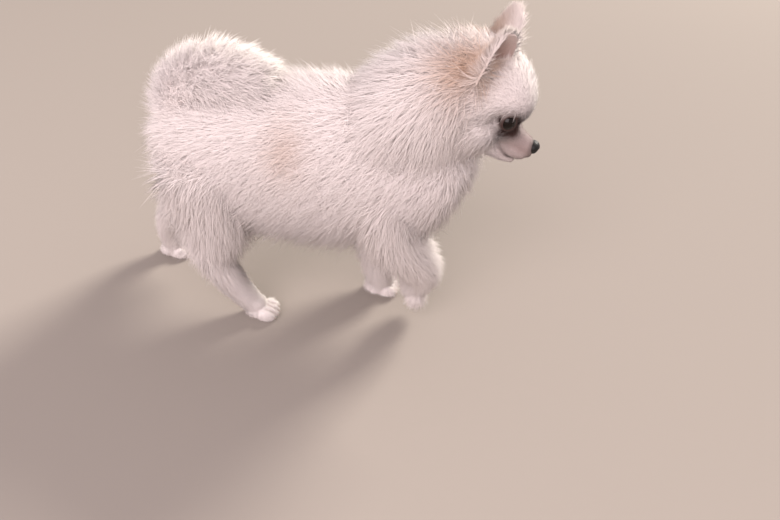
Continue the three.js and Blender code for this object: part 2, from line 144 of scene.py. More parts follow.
class Loft:
    """Oval rings along a smooth line through stations.

    A station is (x, y, z, half width, half height above, half height below, hair length).
    """

    def __init__(self, stations):
        self.stations = np.array(stations, float)

    def at(self, u):
        s = self.stations
        last = len(s) - 1
        place = np.clip(np.asarray(u, float) * last, 0, last - 1e-9)
        i = np.floor(place).astype(int)
        t = (place - i)[..., None]
        a, b = s[np.maximum(i - 1, 0)], s[i]
        c, d = s[i + 1], s[np.minimum(i + 2, last)]
        return b + 0.5 * (
            (c - a) * t + (2 * a - 5 * b + 4 * c - d) * t**2 + (3 * (b - c) + d - a) * t**3
        )

    def frames(self, u):
        rows = self.at(u)
        along = unit(self.at(np.clip(u + 0.01, 0, 1))[:, :3] - self.at(np.clip(u - 0.01, 0, 1))[:, :3])
        side = unit(np.array([0, 1, 0]) - along * along[:, 1:2])
        return rows, along, side, np.cross(side, along)

    def mesh(self, rings, sides, head=False):
        u = np.linspace(0, 1, rings + 1)
        rows, along, side, up = self.frames(u)
        turn = np.linspace(0, 2 * math.pi, sides, endpoint=False)
        cos, sin = np.cos(turn)[None, :, None], np.sin(turn)[None, :, None]
        height = np.where(sin > 0, rows[:, 4][:, None, None], rows[:, 5][:, None, None])
        width = rows[:, 3][:, None, None]
        points = rows[:, None, :3] + side[:, None] * width * cos + up[:, None] * height * sin
        verts = np.concatenate([points.reshape(-1, 3), rows[:1, :3], rows[-1:, :3]])
        faces = []
        for i in range(rings):
            for j in range(sides):
                k = (j + 1) % sides
                faces.append((i * sides + j, (i + 1) * sides + j, (i + 1) * sides + k, i * sides + k))
        start = (rings + 1) * sides
        for j in range(sides):
            k = (j + 1) % sides
            faces.append((start, j, k))
            faces.append((start + 1, rings * sides + k, rings * sides + j))
        return (in_head(verts) if head else verts), faces

    def axis(self, samples, head=False):
        """Points along the line: place, direction, radius and hair length."""
        rows, along, _, _ = self.frames(np.linspace(0, 1, samples))
        radius = (2 * rows[:, 3] + rows[:, 4] + rows[:, 5]) / 4
        place = rows[:, :3]
        if head:
            turn = np.array(HEAD_MATRIX)[:3, :3]
            place, along = in_head(place), along @ turn.T
        return place, along, radius, rows[:, 6]


TRUNK = Loft([
    (CHEST_X + 43, 0, BACK_Z - 10, 17, 22, 20, 17),
    (CHEST_X + 32, 0, BACK_Z - 6, 32, 40, 38, 20),
    (CHEST_X, 0, BACK_Z, 40, 47, 50, 27),
    (36, 0, BACK_Z, 42, 59, 55, 27),
    (-16, 0, BACK_Z - 1, 41, 57, 54, 26),
    (-58, 0, BACK_Z, 42, 50, 51, 26),
    (RUMP_X, 0, BACK_Z - 2, 36, 40, 46, 23),
    (RUMP_X - 17, 0, BACK_Z - 9, 20, 25, 29, 19),
])
NECK = Loft([
    (126, 0, 218, 26, 32, 26, 27),
    (106, 0, 208, 31, 34, 36, 30),
    (84, 0, 192, 37, 36, 46, 29),
    (58, 0, 174, 36, 31, 42, 27),
])
SKULL = Loft([
    (NOSE_X - 4, 0, -21.5, 5, 4.5, 6, 1.4),
    (NOSE_X - 10, 0, -21.5, 8.5, 7.5, 8.5, 1.8),
    (STOP_X + 5, 0, -19.5, 11.5, 9, 11, 2.4),
    (STOP_X - 6, 0, -12, 18.5, 11, 13, 3.8),
    (STOP_X - 14, 0, 2, 25, 20.5, 14, 6),
    (2, 0, 5, SKULL_RADIUS - 3, SKULL_RADIUS - 4.5, 30, 12),
    (-18, 0, 0, 28, 29, 30, 23),
    (-31, 0, -4, 17, 18, 18, 28),
])
JAW = Loft([
    (NOSE_X - 13, 0, -35.5, 4, 3, 3, 1.5),
    (STOP_X + 7, 0, -36, 8.5, 4.5, 4.5, 2.5),
    (STOP_X - 6, 0, -33.5, 14, 8, 6.5, 6),
    (STOP_X - 20, 0, -27, 19, 10, 10, 15),
])
TAIL = Loft([
    (-98, 0, 168, 13, 13, 13, 18),
    (-97, 0, 184, 20, 13, 18, 18),
    (-84, 0, 197, 23, 13, 22, 19),
    (-58, -3, 199, 23, 13, 26, 20),
    (-28, -7, 199, 15, 9, 20, 19),
])
LEGS = {
    "front_left": Loft([
        (64, 24, 132, 19, 20, 20, 26),
        (62, 26, 96, 15, 16, 16, 24),
        (66, 21, 52, 12, 13, 12, 19),
        (69, 17, 26, 10, 10.5, 10, 12),
        (71, 16, 8, 9, 9, 9, 6),
    ]),
    "front_right": Loft([
        (68, -24, 132, 19, 20, 20, 26),
        (80, -27, 98, 15, 16, 16, 25),
        (99, -23, 72, 13, 14, 13, 18),
        (108, -18, 55, 12, 12.5, 12, 13),
        (104, -15, 37, 10.5, 10.5, 10.5, 10),
    ]),
    "hind_left": Loft([
        (-84, 24, 138, 23, 32, 34, 30),
        (-92, 31, 100, 16, 22, 24, 26),
        (-124, 34, 64, 10.5, 12, 14, 15),
        (-139, 35, 34, 9, 9.5, 9.5, 9),
        (-137, 35, 8, 8.5, 8.5, 8.5, 5),
    ]),
    "hind_right": Loft([
        (-76, -24, 138, 23, 32, 34, 30),
        (-70, -31, 100, 16, 22, 24, 26),
        (-72, -36, 62, 11, 13, 15, 15),
        (-58, -38, 36, 10, 10, 11.5, 9),
        (-38, -38, 11, 9, 8.5, 9, 5),
    ]),
}
PAWS = {
    "front_left": ((73, 16, -0.8), 0.05, 0),
    "front_right": ((98, -14, 29), -0.05, 0.95),
    "hind_left": ((-134, 35, -0.8), 0.05, 0),
    "hind_right": ((-31, -38, -0.8), 0, 0),
}


def new_object(name, verts, faces):
    mesh = bpy.data.meshes.new(name)
    mesh.from_pydata([tuple(v) for v in verts], [], [tuple(f) for f in faces])
    mesh.validate()
    made = bpy.data.objects.new(name, mesh)
    bpy.context.scene.collection.objects.link(made)
    return made


def read(data, key, width, kind=float):
    """One property of every item of a mesh's list, as rows."""
    values = np.empty(len(data) * width, kind)
    data.foreach_get(key, values)
    return values.reshape(-1, width)


def set_vertex_colours(mesh, colours):
    """Gives each vertex its colour: the coat's markings, with painted shade at the tufts' roots, in the ears'
    cups and in the toe clefts.
    """
    rgba = np.ones((len(mesh.vertices), 4))
    rgba[:, :3] = colours.reshape(-1, 3)
    attribute = mesh.color_attributes.new("marking_and_shade", "FLOAT_COLOR", "POINT")
    attribute.data.foreach_set("color", rgba.ravel())


def ball(centre, radii, rings=16, sides=20):
    """An ellipsoid as vertices and faces."""
    verts, faces = [], []
    for i in range(1, rings):
        a = math.pi * i / rings
        for j in range(sides):
            b = 2 * math.pi * j / sides
            verts.append((math.sin(a) * math.cos(b), math.sin(a) * math.sin(b), math.cos(a)))
    verts += [(0, 0, 1), (0, 0, -1)]
    top, bottom = len(verts) - 2, len(verts) - 1
    for j in range(sides):
        k = (j + 1) % sides
        faces.append((top, j, k))
        for i in range(rings - 2):
            faces.append((i * sides + j, (i + 1) * sides + j, (i + 1) * sides + k, i * sides + k))
        faces.append((bottom, (rings - 2) * sides + k, (rings - 2) * sides + j))
    return np.array(verts) * np.array(radii) + np.array(centre), faces


def torus(place, facing, radius, tube, squash):
    """A ring round an eye, in the head's frame."""
    verts, faces = [], []
    around, across = 28, 10
    turn = Vector((0, 0, 1)).rotation_difference(Vector(facing))
    for i in range(around):
        a = 2 * math.pi * i / around
        for j in range(across):
            b = 2 * math.pi * j / across
            reach = radius + tube * math.cos(b)
            p = Vector((reach * math.cos(a), reach * math.sin(a) * squash, tube * math.sin(b)))
            verts.append(tuple(turn @ p + Vector(place)))
            k, m = (i + 1) % around, (j + 1) % across
            faces.append((i * across + j, k * across + j, k * across + m, i * across + m))
    return np.array(verts), faces


def ear_matrix(side):
    x, y, z = EAR_AT
    about_x, about_y, about_z = EAR_TURNS
    return (
        Matrix.Translation((x, side * y, z))
        @ Matrix.Rotation(side * about_x, 4, "X")
        @ Matrix.Rotation(about_y, 4, "Y")
        @ Matrix.Rotation(side * about_z, 4, "Z")
    )


def ear_half(v):
    """Half of an ear's width at v, from 0 at its base to 1 at its tip."""
    return EAR_HALF_WIDTH * (0.2 + 0.8 * np.sqrt(np.maximum(0, 1 - v**3)))


def ear_cup(v, u):
    """How far forward the inside of an ear stands at v, and at u from -1 to 1 across it."""
    return (9 - 6.5 * v) * u * u - 2 * v * v


def ear_surface(v, u, face):
    """A point of a cupped, pricked ear, with face 0 inside and 1 outside."""
    return np.stack([ear_cup(v, u) - face * EAR_THICKNESS, u * ear_half(v), v * EAR_LENGTH], -1)


def ear(side, across=24, upward=28):
    verts, faces = [], []
    grid = (across + 1) * (upward + 1)
    for face in (0, 1):
        for j in range(upward + 1):
            v = np.full(across + 1, j / upward)
            verts.append(ear_surface(v, np.linspace(-1, 1, across + 1), face))
    verts = np.concatenate(verts)
    at = lambda face, i, j: face * grid + j * (across + 1) + i
    for j in range(upward):
        for i in range(across):
            faces.append((at(0, i, j), at(0, i + 1, j), at(0, i + 1, j + 1), at(0, i, j + 1)))
            faces.append((at(1, i, j), at(1, i, j + 1), at(1, i + 1, j + 1), at(1, i + 1, j)))
    rim = [(i, 0) for i in range(across)] + [(across, j) for j in range(upward)]
    rim += [(i, upward) for i in range(across, 0, -1)] + [(0, j) for j in range(upward, 0, -1)]
    for n, (i, j) in enumerate(rim):
        k, m = rim[(n + 1) % len(rim)]
        faces.append((at(0, i, j), at(1, i, j), at(1, k, m), at(0, k, m)))
    return in_head(moved(verts, ear_matrix(side))), faces


def paw_matrix(name):
    place, turn, tip = PAWS[name]
    return Matrix.Translation(place) @ Matrix.Rotation(turn, 4, "Z") @ Matrix.Rotation(tip, 4, "Y")


def paw(name):
    """The pad and four toes of a paw."""
    pieces = [ball((-3, 0, 6.4), (12.5, PAW_HALF_WIDTH - 1.6, 7.4))]
    for slot in TOE_SLOTS:
        forward = PAW_LENGTH / 2 - 8 - 1.3 * abs(slot)
        pieces.append(ball((forward, slot * TOE_PITCH, 5.4), (7.6, 4.0, 5.4)))
    return [(moved(verts, paw_matrix(name)), faces) for verts, faces in pieces]


# Centre and radii of the rounded forms of the face's left half: brow, cheek and upper lip
FACE_FORMS = [
    ((11, 13, 9), (9, 8, 6)),
    ((6, 13, -15), (17, 15, 15)),
    ((STOP_X + 8, 6, -26.5), (13, 5.5, 5.8)),
]
LID_RADIUS = 6.1
LID_THICKNESS = 1.9
LID_SQUASH = 0.84


def skin_pieces():
    pieces = [TRUNK.mesh(40, 40), NECK.mesh(24, 32), TAIL.mesh(24, 16)]
    pieces += [SKULL.mesh(40, 40, head=True), JAW.mesh(24, 24, head=True)]
    for name, loft in LEGS.items():
        pieces.append(loft.mesh(30, 20))
        x, y, z, *_ = loft.stations[-1]
        pieces.append(ball((x, y, z + 1), (9.6, 9.2, 9.2)))
        pieces += paw(name)
    for side in (1, -1):
        pieces.append(ear(side))
        for (x, y, z), radii in FACE_FORMS:
            verts, faces = ball((x, side * y, z), radii)
            pieces.append((in_head(verts), faces))
        lids_at = (EYE_AT.x + 1.2, side * (EYE_AT.y + 1.5), EYE_AT.z)
        verts, faces = torus(lids_at, (0.5, side * 0.86, 0.1), LID_RADIUS, LID_THICKNESS, LID_SQUASH)
        pieces.append((in_head(verts), faces))
    return pieces


def mouth_path(side):
    """The line between the lips, from the corner to the front, in the head's frame."""
    return np.array([
        (STOP_X - 12, side * 23, -29.5),
        (STOP_X - 3, side * 16.5, -32.5),
        (STOP_X + 8, side * 10.5, -33),
        (NOSE_X - 9, side * 4, -31.5),
        (NOSE_X - 7, 0, -31),
    ])


def distance_to_path(points, path):
    best = np.full(len(points), 1e9)
    for a, b in zip(path[:-1], path[1:]):
        ab = b - a
        t = np.clip((points - a) @ ab / (ab @ ab), 0, 1)
        best = np.minimum(best, np.linalg.norm(points - a - t[:, None] * ab, axis=1))
    return best


def toe_gaps(points):
    """1 in the clefts between the toes of each paw, falling to 0 on the toes."""
    found = np.zeros(len(points))
    for name in PAWS:
        own = moved(points, paw_matrix(name).inverted())
        ahead = np.clip((own[:, 0] - 3) / 4, 0, 1) * (own[:, 0] < 20) * (np.abs(own[:, 2] - 6) < 8)
        for slot in (-1, 0, 1):
            found = np.maximum(found, ahead * np.exp(-(((own[:, 1] - slot * TOE_PITCH) / 0.9) ** 2)))
    return found


def sculpt(co, normals):
    """Presses in the mouth line, the sockets, the lip's crease and the clefts between toes."""
    head = to_head(co)
    push = np.zeros(len(co))
    near = head[:, 0] > 0
    for side in (1, -1):
        mouth = distance_to_path(head[near], mouth_path(side))
        push[near] -= 1.5 * np.exp(-((mouth / 0.9) ** 2))
        push[near] += 0.5 * np.exp(-(((mouth - 2.2) / 1.2) ** 2))
        eye = np.linalg.norm(head[near] - eye_place(side), axis=1)
        push[near] -= 0.5 * np.exp(-(((eye - 11) / 2) ** 2))
    crease = distance_to_path(head[near], np.array([(NOSE_X - 1, 0, -23), (NOSE_X - 5, 0, -30)]))
    push[near] -= 0.8 * np.exp(-((crease / 0.8) ** 2))
    push -= 1.3 * toe_gaps(co)
    return co + normals * push[:, None]


def make_skin():
    verts, faces, start = [], [], 0
    for v, f in skin_pieces():
        verts.append(v)
        faces += [tuple(start + i for i in face) for face in f]
        start += len(v)
    raw = new_object("skin", np.concatenate(verts), faces)
    remesh = raw.modifiers.new("fuse", "REMESH")
    remesh.mode = "VOXEL"
    remesh.voxel_size = VOXEL
    soften = raw.modifiers.new("soften", "SMOOTH")
    soften.factor = 0.5
    soften.iterations = 4
    fused = bpy.data.meshes.new_from_object(raw.evaluated_get(bpy.context.evaluated_depsgraph_get()))
    raw.modifiers.clear()
    raw.data = fused
    co = sculpt(read(fused.vertices, "co", 3), read(fused.vertices, "normal", 3))
    co[:, 2] = np.maximum(co[:, 2], SKIN_FLOOR)
    fused.vertices.foreach_set("co", co.ravel())
    smooth(raw)
    fused.update()
    return raw


def unwrap(skin):
    """One unwrap of the skin's own shape, which the tufts also use."""
    skin.data.uv_layers.new(name="OFBake")
    bpy.context.view_layer.objects.active = skin
    skin.select_set(True)
    bpy.ops.object.mode_set(mode="EDIT")
    bpy.ops.mesh.select_all(action="SELECT")
    bpy.ops.uv.smart_project(angle_limit=math.radians(66), island_margin=0.002)
    bpy.ops.object.mode_set(mode="OBJECT")
    skin.select_set(False)


def lie_field(points):
    """The coat's direction and length at points, and each body part's share in them."""
    sources = [("trunk", TRUNK, False), ("neck", NECK, False), ("head", SKULL, True)]
    sources += [("jaw", JAW, True), ("tail", TAIL, False)]
    sources += [("leg_" + name, loft, False) for name, loft in LEGS.items()]
    total = np.zeros(len(points))
    lie = np.zeros((len(points), 3))
    length = np.zeros(len(points))
    shares = {}
    for name, loft, head in sources:
        place, along, radius, hair = loft.axis(26, head)
        share = np.zeros(len(points))
        for p, a, r, h in zip(place, along, radius, hair):
            w = np.exp(-PART_FALLOFF * (np.linalg.norm(points - p, axis=1) / r) ** 2)
            share += w
            lie += w[:, None] * a
            length += w * h
        shares[name] = share
        total += share
    total = np.maximum(total, 1e-30)
    shares = {name: share / total for name, share in shares.items()}
    return unit(lie / total[:, None]), length / total, shares


def blob(points, centre, size):
    """A soft mask: 1 at the centre, falling to about a third at size."""
    return np.exp(-np.sum(((points - np.array(centre)) / np.array(size)) ** 2, axis=1))


# The coat's colours, in linear light
CREAM = np.array((0.94, 0.86, 0.83))
TAN = np.array((0.60, 0.38, 0.25))
STAIN = np.array((0.055, 0.025, 0.02))
MUZZLE = np.array((0.20, 0.115, 0.10))
# Pink of the inner ears, also used as painted shade in the ears' cups and in the toe clefts
PINK_AND_SHADE = np.array((0.45, 0.26, 0.22))
LIP = np.array((0.05, 0.028, 0.025))
SKIN_TONE = 0.8  # the skin's brightness, against the coat's


def mix(colour, other, amount):
    amount = np.clip(amount, 0, 1)[:, None]
    return colour * (1 - amount) + other * amount


def colour_at(points):
    """The coat's colour at points, in linear light, the same on skin and tufts, with painted shade in the
    ears' cups and the toe clefts.
    """
    head = to_head(points)
    colour = np.tile(CREAM, (len(points), 1))
    flank = blob(points, (2, -48, 172), (14, 30, 18))
    colour = mix(colour, TAN, 0.42 * flank)
    for side in (1, -1):
        behind = blob(head, (-25, side * 25, 27), (19, 15, 25))
        colour = mix(colour, TAN, behind)
        # The inner ear is pink skin, darkening towards the ear's base as painted shade in its cup
        inside = ear_inner(head, side)
        depth = np.clip(1.1 - (head[:, 2] - 20) / 34, 0, 1)
        colour = mix(colour, PINK_AND_SHADE, inside * (0.25 + 0.7 * depth))
    muzzle = np.clip((head[:, 0] - STOP_X + 10) / 12, 0, 1) * blob(head, (STOP_X + 12, 0, -22), (26, 22, 16))
    colour = mix(colour, MUZZLE, 0.95 * muzzle)
    for side in (1, -1):
        for centre, size, amount in (
            ((EYE_AT.x + 2, side * (EYE_AT.y + 1), EYE_AT.z), (9, 8, 7), 2.2),
            ((STOP_X + 1, side * 12, -9), (8.5, 7.5, 8), 1.6),
            ((STOP_X - 4, side * 18, -13), (6.5, 7, 6.5), 1.3),
        ):
            colour = mix(colour, STAIN, amount * blob(head, centre, size))
        mouth = distance_to_path(head, mouth_path(side))
        colour = mix(colour, LIP, 0.95 * np.exp(-((mouth / 2.0) ** 2)))
    # Painted shade in the clefts between the toes
    colour = mix(colour, PINK_AND_SHADE, 0.75 * toe_gaps(points))
    nose = np.linalg.norm((head - np.array(NOSE_AT)) / np.array((7.5, 8.5, 7)), axis=1)
    return mix(colour, LIP, np.clip(2.2 - 2 * nose, 0, 0.8))


def ear_inner(head, side):
    """1 on an ear's inner face, 0 elsewhere."""
    own = moved(head, ear_matrix(side).inverted())
    v = np.clip(own[:, 2] / EAR_LENGTH, 0, 1)
    u = own[:, 1] / ear_half(v)
    depth = ear_cup(v, u) - own[:, 0]
    between = (np.abs(u) < 0.92) & (own[:, 2] > 11) & (own[:, 2] < EAR_LENGTH)
    return (between & (depth < 0.5 * EAR_THICKNESS) & (depth > -1.4)).astype(float)


def ear_part(head):
    """How far up either ear a point is, from 0 at the base or off the ears to 1 at the tip."""
    height = np.zeros(len(head))
    for side in (1, -1):
        own = moved(head, ear_matrix(side).inverted())
        close = (np.abs(own[:, 1]) < EAR_HALF_WIDTH + 2) & (own[:, 0] > -8) & (own[:, 0] < 12)
        height = np.maximum(height, np.where(close, own[:, 2] / EAR_LENGTH, 0))
    return np.clip(height, 0, 1)


def sample_skin(skin, count):
    """Random roots on the skin: place, normal, place in the unwrap, more of them where the coat is fine."""
    mesh = skin.data
    mesh.calc_loop_triangles()
    tri = read(mesh.loop_triangles, "vertices", 3, int)
    loops = read(mesh.loop_triangles, "loops", 3, int)
    normals = read(mesh.vertices, "normal", 3)
    uv = read(mesh.uv_layers["OFBake"].data, "uv", 2)
    corners = read(mesh.vertices, "co", 3)[tri]
    centre = corners.mean(1)
    first, second = corners[:, 1] - corners[:, 0], corners[:, 2] - corners[:, 0]
    area = 0.5 * np.linalg.norm(np.cross(first, second), axis=1)
    weight = area * density(centre, normals[tri].mean(1))
    chosen = RNG.choice(len(tri), count, p=weight / weight.sum())
    a, b = RNG.random(count), RNG.random(count)
    flip = a + b > 1
    a[flip], b[flip] = 1 - a[flip], 1 - b[flip]
    share = np.stack([1 - a - b, a, b], 1)[:, :, None]
    place = (corners[chosen] * share).sum(1)
    normal = unit((normals[tri[chosen]] * share).sum(1))
    return place, normal, (uv[loops[chosen]] * share).sum(1)


def density(points, normals):
    """How closely the tufts stand, against 1 on the trunk; 0 where there are none."""
    head = to_head(points)
    face = np.clip((head[:, 0] + 5) / 30, 0, 1) * (np.abs(head[:, 1]) < 40) * (np.abs(head[:, 2]) < 45)
    low = np.clip((60 - points[:, 2]) / 40, 0, 1)
    ears = 2.2 * np.clip(ear_part(head) * 4, 0, 1) * (points[:, 0] > 100)
    many = 1 + 3.4 * face + 2.6 * low + ears
    for side in (1, -1):
        eye = np.linalg.norm(head - eye_place(side), axis=1)
        many[eye < EYE_RADIUS + 1.6] = 0
        mouth = distance_to_path(head, mouth_path(side))
        many[mouth < 0.9] = 0
    nose = np.linalg.norm((head - np.array(NOSE_AT)) / np.array((6, 7.2, 5.8)), axis=1)
    many[nose < 1.05] = 0
    many[(points[:, 2] < TUFT_FLOOR) | ((points[:, 2] < 4) & (normals[:, 2] < -0.6))] = 0
    return many


def wisps(place, normal, head):
    """How far the coat stands up in spiky wisps: on crown, nape, croup, plume and the chest's fringe."""
    crown = blob(head, (-26, 0, 28), (22, 34, 20))
    nape = blob(place, (92, 0, 238), (34, 34, 18))
    plume = blob(place, (-84, 0, 214), (44, 30, 20))
    fringe = blob(place, (122, 0, 150), (16, 40, 46))
    upward = np.clip((normal[:, 2] - 0.15) / 0.45, 0, 1)
    return np.clip((crown + nape + plume) * upward + 0.8 * fringe, 0, 1)


HANG = 0.55  # how far the coat of the flanks turns down
UNRULY = 0.42  # how far tufts stray from the coat's direction
LENGTH_SPREAD = 0.13
GUARD_SHARE = 0.04  # of the tufts that are guard hairs
GUARD_LENGTH = 1.13
PLAIN_LENGTH = 0.94
BELLY_LENGTH = 0.35  # how much longer the coat hangs under the trunk
EYE_TRIM = 0.65  # how much shorter it is in front of the eyes
THROAT_TRIM = 0.3


def coat_shape(place, normal):
    """Direction, length, lift, width, gathering and region of each tuft."""
    head = to_head(place)
    lie, length, shares = lie_field(place)
    upright = ear_part(head)
    on_ear = np.clip(upright * 6 - 0.6, 0, 1) * (shares["head"] + shares["neck"] > 0.3)
    ear_up = np.array(HEAD_MATRIX)[:3, :3] @ np.array((-0.45, 0, 1))
    lie = unit(lie * (1 - on_ear[:, None]) + ear_up * on_ear[:, None])
    inner = ear_inner(head, 1) + ear_inner(head, -1)
    length = length * (1 - on_ear) + (14 - 5 * upright - 8 * inner) * on_ear
    trunk = shares["trunk"] + shares["neck"]
    side = np.clip(1 - np.abs(normal[:, 2]), 0, 1)
    lie[:, 2] -= HANG * trunk * side
    front = np.clip(normal[:, 0], 0, 1) * trunk
    lie += front[:, None] * np.array((0.15, 0, -1.1))
    wisp = np.clip(wisps(place, normal, head) + 0.7 * on_ear * (1 - inner), 0, 1)
    unruly = (UNRULY + 0.06 * wisp) * np.clip(length / 14, 0.35, 1)
    lie += unruly[:, None] * RNG.normal(size=lie.shape)
    lie = unit(lie - normal * np.sum(lie * normal, 1, keepdims=True))
    length = length * (1 + LENGTH_SPREAD * RNG.normal(size=len(length)).clip(-2, 2))
    guard = RNG.random(len(length)) < GUARD_SHARE + 0.2 * wisp
    length *= np.where(guard, GUARD_LENGTH + 0.14 * wisp * RNG.random(len(length)), PLAIN_LENGTH)
    length *= 1 + BELLY_LENGTH * np.clip(-normal[:, 2], 0, 1) * shares["trunk"]
    for way in (1, -1):
        ahead = head - np.array((EYE_AT.x + 3, way * (EYE_AT.y - 2), EYE_AT.z))
        length *= 1 - EYE_TRIM * np.exp(-np.sum((ahead / np.array((8, 9, 9))) ** 2, axis=1))
    throat = np.clip((220 - place[:, 2]) / 40, 0, 1) * (place[:, 0] > 60)
    length *= 1 - THROAT_TRIM * front * throat
    lift = 0.5 + 0.55 * np.clip((length - 5) / 15, 0, 1) + 0.25 * wisp + 0.2 * RNG.normal(size=len(length))
    width = np.clip(0.25 + 0.0115 * length, 0.28, 0.62)
    names = list(shares)
    region = np.array(names)[np.argmax(np.stack([shares[n] for n in names]), 0)]
    return lie, np.maximum(length, 0.9), lift.clip(0.15, 1.45), width, 0.2 + 0.5 * wisp, region


def lit_from(place, normal):
    """The direction that a tuft is lit as facing: evened out in the folds at the ears and under the plume."""
    head = to_head(place)
    out = unit(place - np.array(HEAD_PLACE))
    fold = blob(head, (-14, 20, 18), (15, 15, 15)) + blob(head, (-14, -20, 18), (15, 15, 15))
    facing = normal + 2.2 * fold[:, None] * out
    plume = blob(place, (-70, 0, 192), (52, 44, 28))
    from_back = unit((place - np.array((0, 0, BACK_Z))) * np.array((0.15, 1, 1)))
    return unit(facing + 1.6 * plume[:, None] * from_back)


def clump(place, tips, length, gathering):
    """Draws the tips of neighbouring tufts together, as a puppy's coat does."""
    seeds = RNG.choice(len(place), len(place) // TUFTS_IN_CLUMP, replace=False)
    tree = KDTree(len(seeds))
    for i, s in enumerate(seeds):
        tree.insert(place[s], i)
    tree.balance()
    nearest = np.array([tree.find(p)[1] for p in place])
    target = tips[seeds[nearest]]
    gap = target - tips
    reach = np.linalg.norm(gap, axis=1)
    pull = gathering * np.clip(length / 16, 0, 1) * np.clip(1.6 - reach / 14, 0, 1)
    return gap * pull[:, None]


def tuft_mesh(name, place, normal, facing, lie, length, lift, width, pulled, uv, colour):
    """Three-sided, tapering tufts as one mesh."""
    count = len(place)
    start = normal * np.sin(lift)[:, None] + lie * np.cos(lift)[:, None]
    bend = lie * BEND_ALONG - normal * BEND_IN
    bend[:, 2] -= SAG
    across = unit(np.cross(normal, lie))
    root = place - normal * np.minimum(SKIN_SINK, length * SINK_SHARE)[:, None]
    verts = np.empty((count, 3 * len(RINGS) + 1, 3))
    reach = length[:, None]
    for k, (t, taper) in enumerate(RINGS):
        centre = root + reach * (start * t + bend * t * t) + pulled * t**1.6
        out = unit(np.cross(start + 2 * bend * t, across))
        for j in range(3):
            turn = 2 * math.pi * j / 3
            half = (width * taper * 0.5)[:, None]
            verts[:, 3 * k + j] = centre + half * (across * math.cos(turn) + 0.55 * out * math.sin(turn))
    tip, size = 3 * len(RINGS), 3 * len(RINGS) + 1
    verts[:, tip] = root + reach * (start + bend) + pulled
    quads = []
    for k in range(len(RINGS) - 1):
        for j in range(3):
            m = (j + 1) % 3
            quads.append((3 * k + j, 3 * k + m, 3 * k + 3 + m, 3 * k + 3 + j))
    points = [(tip - 3 + j, tip - 3 + (j + 1) % 3, tip) for j in range(3)] + [(2, 1, 0)]
    pattern = np.array([i for face in quads + points for i in face])
    sizes = np.array([4] * len(quads) + [3] * len(points))
    mesh = bpy.data.meshes.new(name)
    mesh.vertices.add(count * size)
    mesh.vertices.foreach_set("co", placed(verts.reshape(-1, 3)).ravel())
    corners = (pattern[None] + size * np.arange(count)[:, None]).ravel()
    mesh.loops.add(len(corners))
    mesh.loops.foreach_set("vertex_index", corners)
    all_sizes = np.tile(sizes, count)
    mesh.polygons.add(len(all_sizes))
    mesh.polygons.foreach_set("loop_start", np.concatenate([[0], np.cumsum(all_sizes)[:-1]]))
    mesh.polygons.foreach_set("use_smooth", np.ones(len(all_sizes), bool))
    height = np.array([t for t, _ in RINGS for _ in range(3)] + [1.0])
    side_of = np.array([0, 1, 2] * len(RINGS) + [1])
    spot = np.stack([(side_of - 1) * 0.5, height - 0.5], 1) * UV_PATCH
    per_corner = (uv[:, None, :] + spot[pattern][None]).reshape(-1, 2)
    layer = mesh.uv_layers.new(name="OFBake")
    layer.data.foreach_set("uv", np.clip(per_corner, 0, 1).ravel())
    # Painted shade: each tuft darker at its root, lighter towards its tip
    painted_root_shade = 0.9 + 0.12 * height
    set_vertex_colours(mesh, np.clip(colour[:, None, :] * painted_root_shade[None, :, None], 0, 1))
    mesh.update(calc_edges=True)
    own = unit(verts - verts.mean(1, keepdims=True))
    soft = unit(SKIN_SHADING * facing[:, None, :] + lie[:, None, :] * 0.25 + own * (1 - SKIN_SHADING))
    mesh.normals_split_custom_set_from_vertices(soft.reshape(-1, 3).tolist())
    made = bpy.data.objects.new(name, mesh)
    bpy.context.scene.collection.objects.link(made)
    return made


def make_coat(skin):
    place, normal, uv = sample_skin(skin, TUFTS)
    lie, length, lift, width, gathering, region = coat_shape(place, normal)
    start = normal * np.sin(lift)[:, None] + lie * np.cos(lift)[:, None]
    tips = place + length[:, None] * (start + lie * BEND_ALONG - normal * BEND_IN)
    pulled = clump(place, tips, length, gathering)
    lowest = (tips + pulled)[:, 2] - SINK_SHARE * length
    low = lowest < TUFT_FLOOR
    length[low] *= np.clip(place[low, 2] / np.maximum(place[low, 2] - lowest[low], 0.1), 0.1, 1) * 0.8
    pulled[low] = 0
    colour = colour_at(place) * (1 + 0.04 * RNG.normal(size=(len(place), 1)))
    facing = lit_from(place, normal)
    groups = {
        "trunk": region == "trunk",
        "neck": region == "neck",
        "head": (region == "head") | (region == "jaw"),
        "tail": region == "tail",
        "legs": np.char.startswith(region.astype(str), "leg"),
    }
    made = []
    triangles = 6 * (len(RINGS) - 1) + 4
    for name, mask in groups.items():
        members = np.flatnonzero(mask)
        members = members[np.argsort(place[members, 0])]
        pieces = math.ceil(len(members) * triangles / PIECE_TRIANGLES)
        for n, part in enumerate(np.array_split(members, pieces)):
            fields = [f[part] for f in (place, normal, facing, lie, length, lift, width, pulled, uv, colour)]
            made.append(tuft_mesh(f"coat_{name}_{n + 1}", *fields))
    return made


def material(name, build):
    made = bpy.data.materials.new(name)
    made.use_nodes = True
    tree = made.node_tree
    build(tree.nodes, tree.links, tree.nodes["Principled BSDF"])
    return made


def fur_material():
    def build(nodes, links, shader):
        # Base colour from the vertex colours: markings and painted shade
        tint = nodes.new("ShaderNodeAttribute")
        tint.attribute_name = "marking_and_shade"
        links.new(tint.outputs["Color"], shader.inputs["Base Color"])
        shader.inputs["Roughness"].default_value = 0.8
        shader.inputs["Specular IOR Level"].default_value = 0.1
        shader.inputs["Sheen Weight"].default_value = 0.08
        shader.inputs["Sheen Roughness"].default_value = 0.5
    return material("fur", build)


